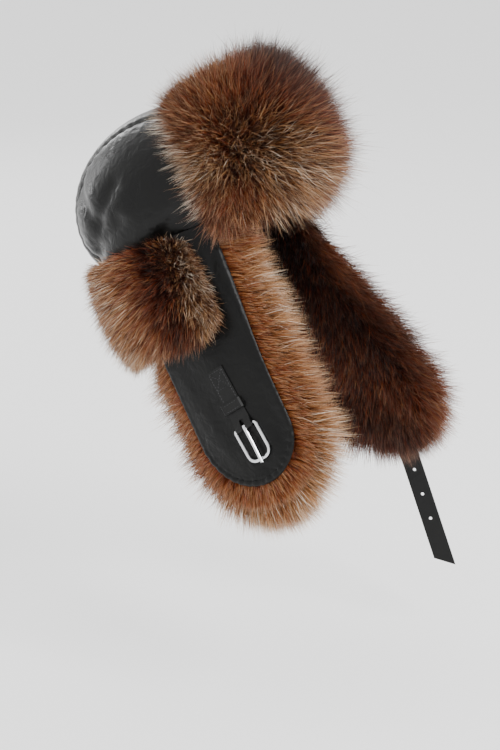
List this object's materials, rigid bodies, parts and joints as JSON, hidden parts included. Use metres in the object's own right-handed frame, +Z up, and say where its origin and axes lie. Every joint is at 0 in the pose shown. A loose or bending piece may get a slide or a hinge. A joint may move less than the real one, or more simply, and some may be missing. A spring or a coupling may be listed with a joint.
{
  "type": "aviator hat",
  "caption": "Black leather aviator hat with a domed crown, a turned-up fur front flap, long fur-lined ear flaps, a fur nape band, a buckle and a tie strap.",
  "frame": {"origin": "centre of the head opening, in the plane of the crown's rim, where the head holds the hat", "axes": "+Z up along the wearer's head, -Y to the wearer's front, +X to the wearer's left; the rim is tipped back 25 degrees about X, as the hat is worn"},
  "size_m": [0.2959, 0.3256, 0.5256],
  "materials": {
    "crown_leather": "semi-gloss smooth black",
    "flap_leather": "matt smooth black",
    "strap_leather": "satin black",
    "brown_fur": "long brown fur with pale tips",
    "tan_fur": "golden tan fur",
    "dark_fur": "dark brown fur",
    "buckle_metal": "polished"
  },
  "bodies": {
    "hat": {"crown_centre_strip": "crown_leather", "crown_side_right": "crown_leather", "crown_side_left": "crown_leather", "brim_fur": "brown_fur", "ear_flap_right_leather": "flap_leather", "ear_flap_left_leather": "flap_leather", "ear_flap_right_fur": "tan_fur", "ear_flap_left_fur": "dark_fur", "nape_leather": "flap_leather", "nape_fur": "brown_fur", "buckle_chape": "strap_leather", "buckle_keeper": "strap_leather", "tie_strap": "strap_leather"},
    "buckle_frame": {"buckle_frame": "buckle_metal"},
    "buckle_prong": {"buckle_prong": "buckle_metal"}
  },
  "joints": [
    {"name": "frame_hinge", "type": "hinge", "parent": "hat", "child": "buckle_frame", "pos_m": [-0.09547, -0.10938, -0.14299], "axis": [-0.0518, 0.8124, -0.5808], "range_deg": [0, 70]},
    {"name": "prong_hinge", "type": "hinge", "parent": "buckle_frame", "child": "buckle_prong", "pos_m": [-0.09547, -0.10938, -0.14299], "axis": [-0.0518, 0.8124, -0.5808], "range_deg": [0, 75]}
  ]
}
